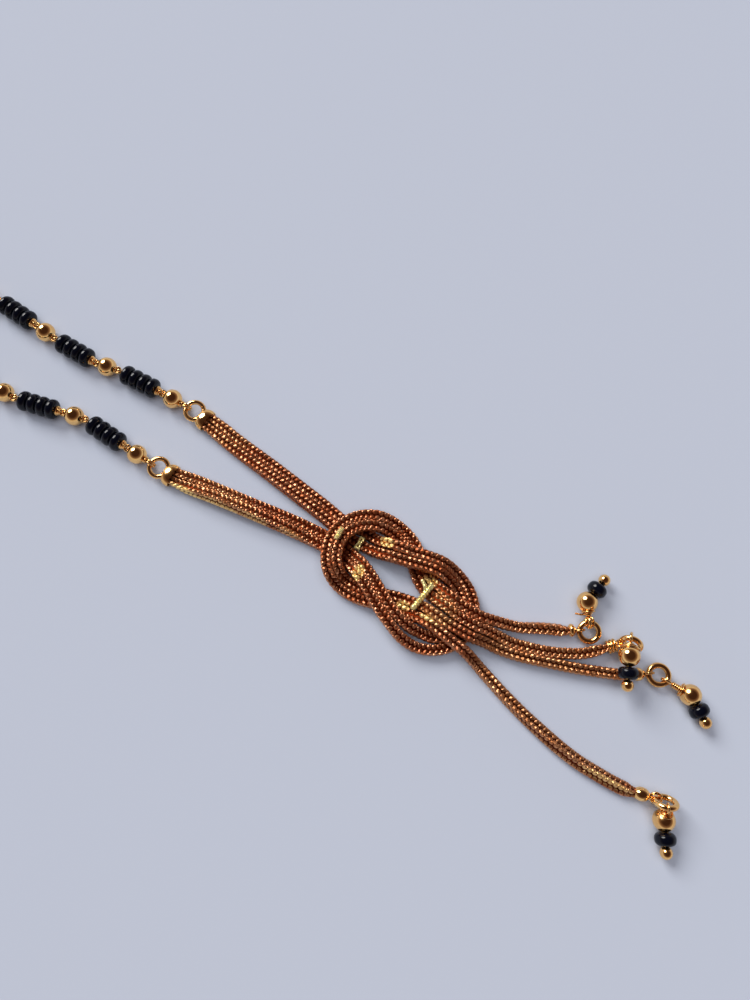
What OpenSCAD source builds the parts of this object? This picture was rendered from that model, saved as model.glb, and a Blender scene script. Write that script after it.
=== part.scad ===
// A mangalsutra lying flat: two strings of black beads, two straps of square mesh chain that
// run through a flat reef knot, and four mesh tails that end in small bead drops.
// Millimetres, the surface it lies on at z = 0, the neck loop to -X and the tassel to +X.

/* [Bead strings] */
// Units of a gold ball and a group of black beads on each side of the neck
units = 18; // [17:1:18]
// Diameter of a black bead
bead_d = 2.85; // [2.75:0.05:2.95]
// Thickness of a black bead along its pin
bead_t = 1.28; // [1.2:0.02:1.32]
// Diameter of a gold ball between two groups
ball_d = 2.7; // [2.6:0.05:2.8]
// Wire of the pins and of the small eyes
wire_d = 0.32; // [0.3:0.01:0.34]

/* [Neck loop] */
// Radius of the round stretch behind the neck
loop_r = 48; // [44:0.5:50]
// Radius of the bend that leads each string into the round stretch
bend_r = 30; // [26:1:34]
// Distance of each string from the middle line beside the tassel
string_y = 4.7; // [4.6:0.05:4.9]
// Wire of the hook that closes the loop
hook_wire_d = 0.72; // [0.6:0.02:0.74]

/* [Mesh chain] */
// Width of a strand of mesh chain
strand_w = 1.3; // [1.2:0.02:1.32]
// Height of a strand of mesh chain
strand_h = 1.4; // [1.3:0.02:1.42]

/* [Caps and rings] */
// Radius to the wire's middle of the large eye on a strap cap
cap_eye_r = 1.3; // [1.25:0.01:1.35]
// Wire of the large eye on a strap cap
cap_wire_d = 0.66; // [0.6:0.02:0.68]
// Radius to the wire's middle of a jump ring
ring_r = 1.22; // [1.21:0.01:1.24]
// Wire of a jump ring
ring_wire_d = 0.64; // [0.6:0.01:0.65]
// Outer diameter of a tail cap
tail_cap_d = 1.7; // [1.68:0.01:1.72]

/* [Drops] */
// Diameter of the gold ball on a drop
drop_ball_d = 2.75; // [2.6:0.05:2.75]
// Diameter of the black bead on a drop
drop_bead_d = 2.6; // [2.4:0.05:2.6]
// Thickness of the black bead on a drop
drop_bead_t = 1.4; // [1.3:0.05:1.4]
// Diameter of the small ball that ends a drop
tip_d = 1.55; // [1.4:0.05:1.55]

/* [Hidden] */

GOLD = [0.83, 0.62, 0.25];
BLACK = [0.05, 0.05, 0.07];
RAD = PI / 180;
clear = 0.1;
beads_per_pin = 4;

// Height of the middle of a strand that lies on the surface, and of one that crosses another
low = strand_h / 2 + 0.02;
high = low + strand_h + clear;

// Columns of the route tables
X = 0;
Y = 1;
Z = 2;
ROLL = 3;
SPREAD = 4;

// Middle line of the two necklace strands, from the upper cap through the knot to the lower cap:
// x, y, height, roll in degrees, half the distance between the two strands
side = 0.7;
necklace_route = [
    [-34.7, 4.36, 1.1, 0, 0.61], [-32.6, 4, 1, 0, 0.69], [-28.5, 3.2, low, 0, side],
    [-23, 2.3, low, -8, side], [-18, 1.4, low, -12, side], [-14, 0.7, low, -8, side],
    [-10.5, 0, low, 0, side], [-7.5, -0.22, low, 0, 0.86], [-5, -0.4, 1.2, 0, 0.8],
    [-2.8, -0.1, high, 0, 0.8], [0, 0.35, high, 0, 0.72], [2, 0.78, high, 0, side],
    [4, 0.98, 2.1, 0, side], [6, 0.65, 1.3, 0, side], [8, -0.25, low, 0, side],
    [9.5, -1.8, low, 0, side], [10.2, -3.6, low, 0, side], [10, -5.4, low, 0, side],
    [9, -7.2, low, 0, side], [7.4, -8.3, low, 0, 0.8], [5.5, -8.75, 0.9, 0, 0.95],
    [3.5, -8.68, 1.75, 0, 0.86], [1.5, -8, high, 0, 0.72], [-0.2, -7.2, high, 0, side],
    [-2, -6.1, high, 0, side], [-3.8, -5, high, 0, side], [-5.6, -4.12, 2.1, 0, side],
    [-6.8, -3.7, 1.2, 0, 0.69], [-8.1, -3.3, low, 0, 0.69], [-10, -3, low, 0, side],
    [-13.5, -3, low, 5, side], [-18, -3.3, low, 20, side], [-23, -3.75, low, 30, side],
    [-28.5, -4.25, low, 27, 0.72], [-32.6, -4.68, 1, 4, 0.7], [-34.7, -4.8, 1.1, 0, 0.61]];

// Middle line of the two tassel strands inside the knot, from the upper leg to the lower leg
tassel_route = [
    [11.3, -3.1, high, 0, side], [9, -3.05, high, 0, side], [7.2, -2.75, high, 0, side],
    [5.5, -2.4, 1.7, 0, 0.72], [4, -1.97, 1, 0, 0.8], [2.6, -1.3, low, 0, 0.74],
    [1.4, -0.3, low, 0, side], [0.2, 0.9, low, 0, side], [-1.2, 1.95, low, 0, side],
    [-2.8, 2.6, 0.8, 0, side], [-4.6, 2.85, 1.3, 0, side], [-6.4, 2.55, 2.06, 0, side],
    [-8.2, 1.6, high, 0, side], [-9.5, 0.1, high, 0, side], [-10.1, -1.7, high, 0, side],
    [-9.9, -3.5, high, 0, side], [-9.25, -5.05, high, 0, side], [-8.15, -6.2, 2, 0, side],
    [-6.9, -6.76, 1, 0, side], [-5.4, -7, low, 0, side], [-3.4, -6.9, low, 0, side],
    [-1.6, -6.4, low, 0, side], [0, -5.9, low, 0, side], [1.5, -5.6, low, 0, 0.72],
    [3.1, -5.5, 1.1, 0, 0.8], [4.7, -5.5, 1.9, 0, 0.76], [6.3, -5.65, high, 0, side],
    [8, -5.95, high, 0, side], [11.1, -6.28, high, 0, 0.95]];

// The four free tails, from the knot to the end inside the tail cap: x, y, height, roll
tail_routes = [
    [[13.8, -1.85, 1.5, 0], [16.4, -1.1, low, 6], [18.5, -0.1, low, 14], [20.2, 0.65, low, 16],
     [21.8, 1.28, 0.87, 16], [22.74, 1.81, 0.87, 16]],
    [[13.2, -3.5, 1.6, 0], [16.1, -3.4, low, 0], [18.6, -2.9, low, 0], [21, -2.2, low, 0],
     [23.3, -1.25, low, 0], [25.3, -0.15, low, 0], [27.09, 1.38, 0.9, 0], [27.95, 2.22, 0.96, 0]],
    [[13.2, -5, 1.4, 0], [15.3, -4.85, low, 0], [17.8, -4.45, low, 0], [20.3, -3.8, low, 0],
     [22.7, -3.1, low, 0], [25.1, -2.4, low, 0], [27.4, -1.6, low, 0], [29.7, -0.75, low, 0],
     [31.27, -0.08, 0.87, 0], [32.29, 0.55, 0.87, 0]],
    [[12.8, -7.7, 1.4, 0], [14.9, -8.45, low, -3], [18.1, -9.65, low, -8], [21.4, -10.75, low, -16],
     [24.3, -11.55, low, -28], [27.2, -12.25, low, -40], [30, -12.72, low, -45],
     [32.5, -12.88, low, -45], [35, -12.95, low, -45], [36.95, -12.84, 0.9, -45],
     [38.12, -12.56, 0.98, -45]]];

// For each tail: the middle of the cap's eye, the length of the cap's body, the middle of the
// drop's eye, the drop's ball and the drop's end ball, and the side the jump ring lies on
tail_ends = [
    [[23.56, 2.29, 0.87], 0.85, [24.22, 3.72, 1.2],
     [22.87, 5.98, 1.4], [23.73, 9.69, 1.3], [1, -0.4, 0]],
    [[28.95, 3.2, 1.1], 1.3, [29.44, 4.05, 2.7],
     [29.95, 1.81, 3.2], [31.28, -1.63, 2.88], [1, 0, 0]],
    [[33.65, 1.4, 0.87], 1.5, [35.98, 1.5, 1.12],
     [39.2, 1.3, 1.4], [42.17, -0.94, 1.3], [0, 1, 0]],
    [[40.07, -12.1, 1.26], 1.83, [41.15, -12.6, 3],
     [41.84, -13.98, 1.4], [43.53, -17.27, 1.3], [0.6, 0.5, -0.5]]];
CAP_EYE = 0;
CAP_LEN = 1;
DROP_EYE = 2;
BALL = 3;
TIP = 4;
RING_SIDE = 5;

// Rings of the sweep from one route point to the next
steps = 3;
// Size of a strand where a cap squeezes it, against its own size
strap_squeeze = 0.85;
tail_squeeze = 0.66;

// A curve through b and c, with a and d as the neighbours
function curve(a, b, c, d, t) =
    0.5 * (2 * b + (c - a) * t + (2 * a - 5 * b + 4 * c - d) * t * t + (3 * b - a - 3 * c + d) * t * t * t);

function smooth(points) =
    let (last = len(points) - 1)
    [for (i = [0 : last])
        for (k = [0 : i < last ? steps - 1 : 0])
            i == last ? points[last] :
            curve(points[max(i - 1, 0)], points[i], points[i + 1], points[min(i + 2, last)], k / steps)];

function unit(v) = v / norm(v);
function place(p) = [p[X], p[Y], p[Z]];
function travel(path, i) = unit(place(path[min(i + 1, len(path) - 1)]) - place(path[max(i - 1, 0)]));
function level_left(t) = unit([-t[Y], t[X], 0]);

// A path taken the other way round, on which a roll turns the other way too
function reversed(path) =
    [for (i = [len(path) - 1 : -1 : 0])
        [path[i][X], path[i][Y], path[i][Z], -path[i][ROLL]]];

// A path beside the middle line: hand is 1 for its left, -1 for its right. A pair rolls as one band,
// so its middle line is lifted where the roll would press one strand into the surface
function beside(path, hand) =
    [for (i = [0 : len(path) - 1])
        let (roll = path[i][ROLL], spread = path[i][SPREAD],
             lift = max(path[i][Z], rest_height(roll) + spread * abs(sin(roll))) - path[i][Z],
             p = place(path[i]) + hand * spread * cos(roll) * level_left(travel(path, i)))
        [p[X], p[Y], p[Z] + lift + hand * spread * sin(roll), roll]];

// A tail's path from the last two places of the strand inside the knot
function tail_path(before, start, route) =
    let (all = smooth(concat([before, start], route)))
    [for (i = [steps + 1 : len(all) - 1]) all[i]];

necklace_mid = smooth(necklace_route);
tassel_mid = smooth(tassel_route);

function tassel_strand(hand, upper_tail, lower_tail) =
    let (knot = beside(tassel_mid, hand), n = len(knot))
    concat(reversed(tail_path(knot[steps], knot[0], tail_routes[upper_tail])), knot,
           tail_path(knot[n - 1 - steps], knot[n - 1], tail_routes[lower_tail]));

// Outline of a strand: a square with its corners cut off
cut = 0.2;
function strand_outline() =
    let (a = strand_w / 2, b = strand_h / 2)
    [[a, b - cut], [a - cut, b], [cut - a, b], [-a, b - cut],
     [-a, cut - b], [cut - a, -b], [a - cut, -b], [a, cut - b]];

function squeeze(i, last, end_size) =
    let (from_end = min(i, last - i))
    from_end <= 2 ? end_size : from_end == 3 ? (1 + end_size) / 2 : 1;

// Height of a strand's middle that rests on the surface with this roll
function rest_height(roll) =
    0.02 + max([for (c = strand_outline()) c[Y] * cos(roll) + c[X] * sin(roll)]);

module strand(path, end_size) {
    outline = strand_outline();
    m = len(outline);
    last = len(path) - 1;
    points = [for (i = [0 : last])
                 let (t = travel(path, i), level = level_left(t), rise = cross(t, level),
                      roll = path[i][ROLL], left = cos(roll) * level + sin(roll) * rise,
                      up = cos(roll) * rise - sin(roll) * level)
                 for (c = outline)
                     [path[i][X], path[i][Y], max(path[i][Z], rest_height(roll))]
                     + squeeze(i, last, end_size) * (c[X] * left + c[Y] * up)];
    walls = [for (i = [0 : last - 1])
                for (k = [0 : m - 1])
                    let (j = (k + 1) % m)
                    [i * m + k, (i + 1) * m + k, (i + 1) * m + j, i * m + j]];
    polyhedron(points, concat([[for (k = [0 : m - 1]) k]], walls,
                              [[for (k = [m - 1 : -1 : 0]) last * m + k]]));
}

// A ring of round wire, flat, round the origin. Its seam is a quarter turn from +X, where the neck is
module wire_ring(r, wire) {
    rotate([0, 0, 90])
        rotate_extrude($fn = 48)
            translate([r, 0])
                circle(d = wire, $fn = 24);
}

// A ball at distance x along a link, its seam a quarter turn from the link's line
module ball_at(x, d) {
    translate([x, 0, 0])
        rotate([0, 0, 90])
            sphere(d = d, $fn = 48);
}

// A wire ring in the plane of the link's own X and Z
module upright_ring(r, wire) {
    rotate([90, 0, 0])
        wire_ring(r, wire);
}

// Turns +X to the direction v and moves the origin to p
module aim(p, v) {
    translate(p)
        rotate([0, -asin(unit(v)[Z]), atan2(v[Y], v[X])])
            children();
}

// Moves the origin to p, turns +X to the direction v and +Y as near to the direction w as it can be
module frame_at(p, v, w) {
    x = unit(v);
    z = unit(cross(x, w));
    y = cross(z, x);
    multmatrix([[x[X], y[X], z[X], p[X]],
                [x[Y], y[Y], z[Y], p[Y]],
                [x[Z], y[Z], z[Z], p[Z]],
                [0, 0, 0, 1]])
        children();
}

// Moves everything so that the middle of the whole length is at x = 0
module centred() {
    translate([-middle_x, 0, 0])
        children();
}

// Eyes of the bead strings
axis_z = bead_d / 2;
wire_r = wire_d / 2;
eye_r = wire_r * 2 + clear;
big_eye_r = hook_wire_d / 2 + wire_r + 0.12;
// From a ball's middle to the middle of its eye, short and long
eye_lead = ball_d / 2 + wire_r + 0.11;
long_lead = 2.4;
// From the start of a pin to its first bead
pin_lead = 2 * eye_r + wire_r + clear;
ball_link_len = 2 * eye_lead;
pin_len = 2 * pin_lead + beads_per_pin * bead_t + (beads_per_pin - 1) * clear;
link_count = 2 * units;
function link_len(i) = i == 0 ? long_lead + eye_lead : i % 2 == 0 ? ball_link_len : pin_len;
function string_len(n) = n == 0 ? 0 : string_len(n - 1) + link_len(n - 1);

// The string's path: straight beside the tassel, a bend outwards, then the round stretch
cap_x = -36.5;
string_start = [cap_x - cap_eye_r, string_y];
bend_angle = acos(1 - (loop_r - string_y) / (loop_r + bend_r));
bend_len = bend_r * bend_angle * RAD;
hook_reach = 4;
loop_len = loop_r * (bend_angle + 90) * RAD - hook_reach;
straight_len = string_len(link_count) - bend_len - loop_len;
function heading(s) =
    s < straight_len ? 0 :
    s < straight_len + bend_len ? (s - straight_len) / bend_r / RAD :
    bend_angle - (s - straight_len - bend_len) / loop_r / RAD;

// How far the first links of each string turn outwards from its line, and the links after them
// that bring the string back to it
sway_upper = [2, 0, -9, 3, 9, 6];
sway_lower = [-5, -6, 10, 11, -2, 0];
back_links = 10;
function total(list) = [for (x = list) 1] * list;
function way_back(sway) =
    let (n = len(sway), off = total([for (i = [0 : n - 1]) link_len(i) * sin(sway[i])]))
    -asin(off / (string_len(n + back_links) - string_len(n)));
function link_turns(sway) =
    let (n = len(sway), back = way_back(sway))
    [for (i = [0 : link_count - 1])
        heading(string_len(i) + link_len(i) / 2) + (i < n ? sway[i] : i < n + back_links ? back : 0)];
function joint(i, turns) =
    i == 0 ? string_start :
    joint(i - 1, turns) + link_len(i - 1) * [-cos(turns[i - 1]), sin(turns[i - 1])];
turns_upper = link_turns(sway_upper);
turns_lower = link_turns(sway_lower);
end_upper = joint(link_count, turns_upper);
end_lower = joint(link_count, turns_lower);

// The hook runs from the end of one string to the end of the other, which is drawn mirrored
hook_line = [end_upper[X] - end_lower[X], end_upper[Y] + end_lower[Y]];
hook_middle = [(end_upper[X] + end_lower[X]) / 2, (end_upper[Y] - end_lower[Y]) / 2];
hook_loop_r = norm(hook_line) / 4;

// Runs its children at the start of link i, with +X along the link
module at_link(i, turns) {
    start = joint(i, turns);
    aim([start[X], start[Y], axis_z], [-cos(turns[i]), sin(turns[i]), 0])
        children();
}

// A gold ball with a flat eye at each end
module ball_link() {
    union() {
        ball_at(eye_lead, ball_d);
        wire_ring(eye_r, wire_d);
        translate([ball_link_len, 0, 0])
            wire_ring(eye_r, wire_d);
    }
}

// The ball next to a strap cap: a large upright eye on a longer neck, then the ball and a flat eye
module first_ball_link() {
    neck_d = 0.6;
    union() {
        upright_ring(big_eye_r, wire_d);
        translate([big_eye_r, 0, 0])
            rotate([0, 90, 0])
                cylinder(d = neck_d, h = long_lead - ball_d / 2 - big_eye_r + 0.2, $fn = 32);
        ball_at(long_lead, ball_d);
        translate([long_lead + eye_lead, 0, 0])
            wire_ring(eye_r, wire_d);
    }
}

// A wire pin with an upright eye at each end; the last one before the hook has a large eye
module bead_pin(end_eye_r) {
    start = 2 * eye_r;
    end = pin_len - (end_eye_r == eye_r ? 2 * eye_r : end_eye_r);
    end_eye_x = end_eye_r == eye_r ? pin_len - eye_r : pin_len;
    union() {
        translate([eye_r, 0, 0])
            upright_ring(eye_r, wire_d);
        translate([start, 0, 0])
            rotate([0, 90, 0])
                cylinder(d = wire_d, h = end - start, $fn = 24);
        translate([end_eye_x, 0, 0])
            upright_ring(end_eye_r, wire_d);
    }
}

// A round bead with flat ends and rounded rims, its hole along X
module drilled_bead(d, t, hole_d) {
    rim = 0.48;
    rotate([0, 90, 0])
        rotate_extrude($fn = 48)
            intersection() {
                union() {
                    for (side = [-1, 1])
                        translate([d / 2 - rim, side * (t / 2 - rim)])
                            circle(r = rim, $fn = 32);
                    translate([0, -t / 2])
                        square([d / 2 - rim, t]);
                    translate([0, rim - t / 2])
                        square([d / 2, t - 2 * rim]);
                }
                translate([hole_d / 2, -t])
                    square([d, 2 * t]);
            }
}

module ball_links(turns) {
    color(GOLD)
        for (i = [0 : 2 : link_count - 1])
            at_link(i, turns)
                if (i == 0) first_ball_link();
                else ball_link();
}

module bead_pins(turns) {
    color(GOLD)
        for (i = [1 : 2 : link_count - 1])
            at_link(i, turns)
                bead_pin(i == link_count - 1 ? big_eye_r : eye_r);
}

module black_beads(turns) {
    color(BLACK)
        for (i = [1 : 2 : link_count - 1])
            at_link(i, turns)
                for (k = [0 : beads_per_pin - 1])
                    translate([pin_lead + bead_t / 2 + k * (bead_t + clear), 0, 0])
                        drilled_bead(bead_d, bead_t, wire_d + 2 * clear + 0.04);
}

// The hook that closes the loop: two round bights of one wire, each nearly closed, with a short
// collar where they meet
module s_hook() {
    turn = 300;
    collar_d = hook_wire_d + 0.16;
    collar_len = 0.9;
    color(GOLD)
        translate([hook_middle[X], hook_middle[Y], axis_z])
            rotate([0, 0, atan2(hook_line[Y], hook_line[X]) - 90])
                union() {
                    for (half = [0, 180])
                        rotate([0, 0, half])
                            translate([0, hook_loop_r, 0])
                                rotate([0, 0, -90 - turn]) {
                                    rotate_extrude(angle = turn, $fn = 64)
                                        translate([hook_loop_r, 0])
                                            circle(d = hook_wire_d, $fn = 24);
                                    translate([hook_loop_r, 0, 0])
                                        sphere(d = hook_wire_d + 0.1, $fn = 24);
                                }
                    translate([-collar_len / 2, 0, 0])
                        rotate([0, 90, 0])
                            cylinder(d = collar_d, h = collar_len, $fn = 24);
                }
}

// A cap that grips the two strands of a strap, with a large eye for the string. The eye's middle
// is at the origin and the strap goes to +X
module strap_cap() {
    wall = 0.2;
    inner_y = 0.61 + strap_squeeze * strand_w / 2 + 0.2;
    inner_z = strap_squeeze * strand_h / 2 + 0.14;
    body_from = 1.2;
    bore_from = 1.6;
    body_to = 2.4;
    // The strap comes in lower than the string's middle
    drop = axis_z - necklace_route[0][Z];
    eye_hole = cap_eye_r - cap_wire_d / 2;
    neck_t = 0.9;
    union() {
        wire_ring(cap_eye_r, cap_wire_d);
        difference() {
            union() {
                translate([body_from, -inner_y - wall, -drop - inner_z - wall])
                    cube([body_to - body_from, 2 * (inner_y + wall), 2 * (inner_z + wall)]);
                translate([0, 0, -neck_t / 2])
                    linear_extrude(neck_t)
                        polygon([[0.7, -1.2], [body_from + 0.1, -inner_y - wall],
                                 [body_from + 0.1, inner_y + wall], [0.7, 1.2]]);
            }
            translate([0, 0, -2])
                cylinder(r = eye_hole + 0.05, h = 4, $fn = 48);
            translate([bore_from, -inner_y, -drop - inner_z])
                cube([2, 2 * inner_y, 2 * inner_z]);
        }
    }
}

strap_ends = [necklace_route[0], necklace_route[len(necklace_route) - 1]];

module strap_cap_at(y, strap_end) {
    color(GOLD)
        aim([cap_x, y, axis_z], [strap_end[X] - cap_x, strap_end[Y] - y, 0])
            strap_cap();
}

// A straight wire from one point to another
module straight_wire(from, to, wire) {
    aim(from, to - from)
        rotate([0, 90, 0])
            cylinder(d = wire, h = norm(to - from), $fn = 24);
}

// A wire through the given points, with a slightly swollen round bend at each of them
module wire_through(points, wire) {
    for (p = points)
        translate(p)
            sphere(d = wire + 0.04, $fn = 24);
    for (i = [0 : len(points) - 2])
        straight_wire(points[i], points[i + 1], wire);
}

// The tie that lies along the groove between the two tassel strands, at the knot's left
module tie_left_outer() {
    groove = strand_h / 2 + 0.1;
    color(GOLD)
        union()
            wire_through([for (i = [41, 44]) place(tassel_mid[i]) + [0, 0, groove]], 0.26);
}

// Two turns of wire over the upper of the two inner strands at the knot's left
module tie_left_inner() {
    wire = 0.2;
    inner = beside(necklace_mid, -1);
    middle = (place(inner[21]) + place(inner[22])) / 2;
    over = strand_h / 2 + 0.26;
    reach = strand_w / 2 + 0.2;
    turn_x = 0.24;
    color(GOLD)
        translate(middle)
            union() {
                for (x = [-turn_x, turn_x])
                    wire_through([[x, -reach, -0.5], [x, -reach, over], [x, reach, over], [x, reach, -0.5]],
                                 wire);
                wire_through([[-turn_x, reach, over], [turn_x, reach, over]], wire);
            }
}

// A thick twist of wire over the two inner strands where the tassel's legs meet, with thin ends
// that go down beside the strands
module tie_right() {
    bar = 0.56;
    leg = 0.16;
    low_end = [3.1, -5.48, 2.6];
    high_end = [3.9, -1.97, 2.36];
    color(GOLD)
        union() {
            wire_through([low_end, high_end], bar);
            straight_wire(low_end, [low_end[X], low_end[Y], 1.2], leg);
            straight_wire(high_end, [high_end[X], high_end[Y], 0.9], leg);
        }
}

// Middle of a jump ring that passes through the cap's eye and the drop's eye
function ring_middle(t) =
    let (from = t[CAP_EYE], to = t[DROP_EYE], chord = unit(to - from), half = norm(to - from) / 2,
         out = unit(t[RING_SIDE] - (t[RING_SIDE] * chord) * chord))
    (from + to) / 2 + sqrt(max(ring_r * ring_r - half * half, 0)) * out;
// The ring's axis; the small shift keeps it defined where the two eyes face each other across the ring
function ring_normal(t) =
    unit(cross(t[CAP_EYE] - ring_middle(t), t[DROP_EYE] - ring_middle(t) + [0, 0.001, 0.001]));
// Direction of the ring's wire where it passes through p
function wire_direction(t, p) = unit(cross(ring_normal(t), p - ring_middle(t)));

module jump_ring(i) {
    t = tail_ends[i];
    color(GOLD)
        frame_at(ring_middle(t), ring_normal(t), [0.1, 1, 0.2])
            rotate([0, 90, 0])
                wire_ring(ring_r, ring_wire_d);
}

// Radius of the eye of each tail cap
cap_small_eye_r = [0.6, 0.6, 0.6, 0.68];
cap_eye_wire = 0.34;
tail_bore_d = 1.34;

// A cap on the end of a tail: a short sleeve and an eye that stands across the ring's wire
module tail_cap(i) {
    t = tail_ends[i];
    route = tail_routes[i];
    strand_end = place(route[len(route) - 1]);
    body = t[CAP_LEN];
    neck = cap_small_eye_r[i];
    color(GOLD)
        frame_at(t[CAP_EYE], t[CAP_EYE] - strand_end, wire_direction(t, t[CAP_EYE]))
            union() {
                upright_ring(neck, cap_eye_wire);
                difference() {
                    translate([-neck - body, 0, 0])
                        rotate([0, 90, 0])
                            cylinder(d = tail_cap_d, h = body - 0.3, $fn = 48);
                    translate([-neck - body - 0.1, 0, 0])
                        rotate([0, 90, 0])
                            cylinder(d = tail_bore_d, h = 0.7, $fn = 48);
                }
                translate([-neck - 0.31, 0, 0])
                    rotate([0, 90, 0])
                        cylinder(d1 = tail_cap_d - 0.04, d2 = 0.5, h = 0.35, $fn = 48);
            }
}

pin_d = 0.32;
// Radius of the eye of each drop
drop_eye_r = [0.72, 0.62, 0.62, 0.56];

// A drop's pin: an eye round the jump ring, a wrapped neck, a shaft that bends inside the ball,
// and the small ball at its end
module drop_pin(i) {
    t = tail_ends[i];
    lead = norm(t[BALL] - t[DROP_EYE]);
    wrap_to = lead - drop_ball_d / 2 - 0.12;
    wrap_from = max(drop_eye_r[i] + 0.04, wrap_to - 0.95);
    color(GOLD)
        union() {
            frame_at(t[DROP_EYE], t[BALL] - t[DROP_EYE], wire_direction(t, t[DROP_EYE])) {
                upright_ring(drop_eye_r[i], i == 3 ? 0.28 : pin_d);
                if (wrap_to - wrap_from > 0.1)
                    translate([wrap_from, 0, 0])
                        rotate([0, 90, 0])
                            cylinder(d = 0.62, h = wrap_to - wrap_from, $fn = 32);
                translate([drop_eye_r[i], 0, 0])
                    rotate([0, 90, 0])
                        cylinder(d = pin_d + 0.06, h = lead - drop_eye_r[i], $fn = 24);
                ball_at(lead, pin_d + 0.14);
            }
            aim(t[BALL], t[TIP] - t[BALL]) {
                rotate([0, 90, 0])
                    cylinder(d = pin_d, h = norm(t[TIP] - t[BALL]), $fn = 24);
                ball_at(norm(t[TIP] - t[BALL]), tip_d);
            }
        }
}

module drop_ball(i) {
    t = tail_ends[i];
    hole = pin_d + 0.28;
    color(GOLD)
        difference() {
            aim(t[BALL], t[TIP] - t[BALL])
                ball_at(0, drop_ball_d);
            aim(t[BALL], t[DROP_EYE] - t[BALL]) {
                rotate([0, 0, -90])
                    sphere(d = hole + 0.12, $fn = 48);
                rotate([0, 90, 0])
                    cylinder(d = hole, h = 2, $fn = 32);
            }
            aim(t[BALL], t[TIP] - t[BALL])
                rotate([0, 90, 0])
                    cylinder(d = hole - 0.02, h = 2, $fn = 32);
        }
}

module drop_bead(i) {
    t = tail_ends[i];
    along_pin = unit(t[TIP] - t[BALL]);
    color(BLACK)
        aim(t[BALL] + (drop_ball_d / 2 + drop_bead_t / 2 + 0.08) * along_pin, along_pin)
            drilled_bead(drop_bead_d, drop_bead_t, pin_d + 0.2);
}

module necklace_strand(hand) {
    color(GOLD)
        centred()
            strand(beside(necklace_mid, hand), strap_squeeze);
}

module tassel(hand, upper_tail, lower_tail) {
    color(GOLD)
        centred()
            strand(tassel_strand(hand, upper_tail, lower_tail), tail_squeeze);
}

// The whole length runs from the hook to the end ball of the lowest drop
min_x = hook_middle[X] - hook_loop_r - hook_wire_d / 2;
max_x = tail_ends[3][TIP][X] + tip_d / 2;
middle_x = (min_x + max_x) / 2;

necklace_strand(1);  // necklace_strand_outer
necklace_strand(-1);  // necklace_strand_inner
tassel(-1, 0, 3);  // tassel_strand_outer
tassel(1, 1, 2);  // tassel_strand_inner
centred() tie_left_outer();
centred() tie_left_inner();
centred() tie_right();
centred() strap_cap_at(string_y, strap_ends[0]);  // strap_cap_upper
centred() strap_cap_at(-string_y, strap_ends[1]);  // strap_cap_lower
centred() ball_links(turns_upper);  // ball_links_upper
centred() mirror([0, 1, 0]) ball_links(turns_lower);  // ball_links_lower
centred() bead_pins(turns_upper);  // bead_pins_upper
centred() mirror([0, 1, 0]) bead_pins(turns_lower);  // bead_pins_lower
centred() black_beads(turns_upper);  // black_beads_upper
centred() mirror([0, 1, 0]) black_beads(turns_lower);  // black_beads_lower
centred() s_hook();
centred() tail_cap(0);  // tail_cap_1
centred() tail_cap(1);  // tail_cap_2
centred() tail_cap(2);  // tail_cap_3
centred() tail_cap(3);  // tail_cap_4
centred() jump_ring(0);  // jump_ring_1
centred() jump_ring(1);  // jump_ring_2
centred() jump_ring(2);  // jump_ring_3
centred() jump_ring(3);  // jump_ring_4
centred() drop_pin(0);  // drop_pin_1
centred() drop_pin(1);  // drop_pin_2
centred() drop_pin(2);  // drop_pin_3
centred() drop_pin(3);  // drop_pin_4
centred() drop_ball(0);  // drop_ball_1
centred() drop_ball(1);  // drop_ball_2
centred() drop_ball(2);  // drop_ball_3
centred() drop_ball(3);  // drop_ball_4
centred() drop_bead(0);  // drop_bead_1
centred() drop_bead(1);  // drop_bead_2
centred() drop_bead(2);  // drop_bead_3
centred() drop_bead(3);  // drop_bead_4
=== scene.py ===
from collections import namedtuple
import math

import bpy
from mathutils import Matrix, Vector


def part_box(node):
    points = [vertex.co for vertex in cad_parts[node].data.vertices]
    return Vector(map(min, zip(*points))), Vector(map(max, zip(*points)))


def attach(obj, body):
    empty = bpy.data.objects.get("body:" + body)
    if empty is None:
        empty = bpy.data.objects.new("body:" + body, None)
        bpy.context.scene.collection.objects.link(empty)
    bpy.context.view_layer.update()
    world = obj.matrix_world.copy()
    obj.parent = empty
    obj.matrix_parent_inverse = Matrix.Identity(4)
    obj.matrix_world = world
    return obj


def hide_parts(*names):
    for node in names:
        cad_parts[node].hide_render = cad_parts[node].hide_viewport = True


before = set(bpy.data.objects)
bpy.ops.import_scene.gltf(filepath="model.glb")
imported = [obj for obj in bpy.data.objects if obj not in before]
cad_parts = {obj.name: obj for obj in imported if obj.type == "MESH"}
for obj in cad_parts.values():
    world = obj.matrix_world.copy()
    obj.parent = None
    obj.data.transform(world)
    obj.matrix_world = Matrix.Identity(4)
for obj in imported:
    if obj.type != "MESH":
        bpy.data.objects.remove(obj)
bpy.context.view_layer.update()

# Sizes in millimetres, the same as the solids
MM = 0.001
BEAD_D = 2.85
BEAD_T = 1.28
BALL_D = 2.7
WIRE_D = 0.32
CLEAR = 0.1
UNITS = 18
BEADS_PER_PIN = 4
LOOP_R = 48
BEND_R = 30
STRING_Y = 4.7
HOOK_WIRE_D = 0.72
STRAND_W = 1.3
STRAND_H = 1.4
STRAND_CORNER = 0.2
STRAP_EYE_R = 1.3
STRAP_EYE_WIRE_D = 0.66
RING_R = 1.22
RING_WIRE_D = 0.64
TAIL_CAP_D = 1.7
DROP_BALL_D = 2.75
DROP_BEAD_D = 2.6
DROP_BEAD_T = 1.4
TIP_D = 1.55
PIN_D = 0.32

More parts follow.
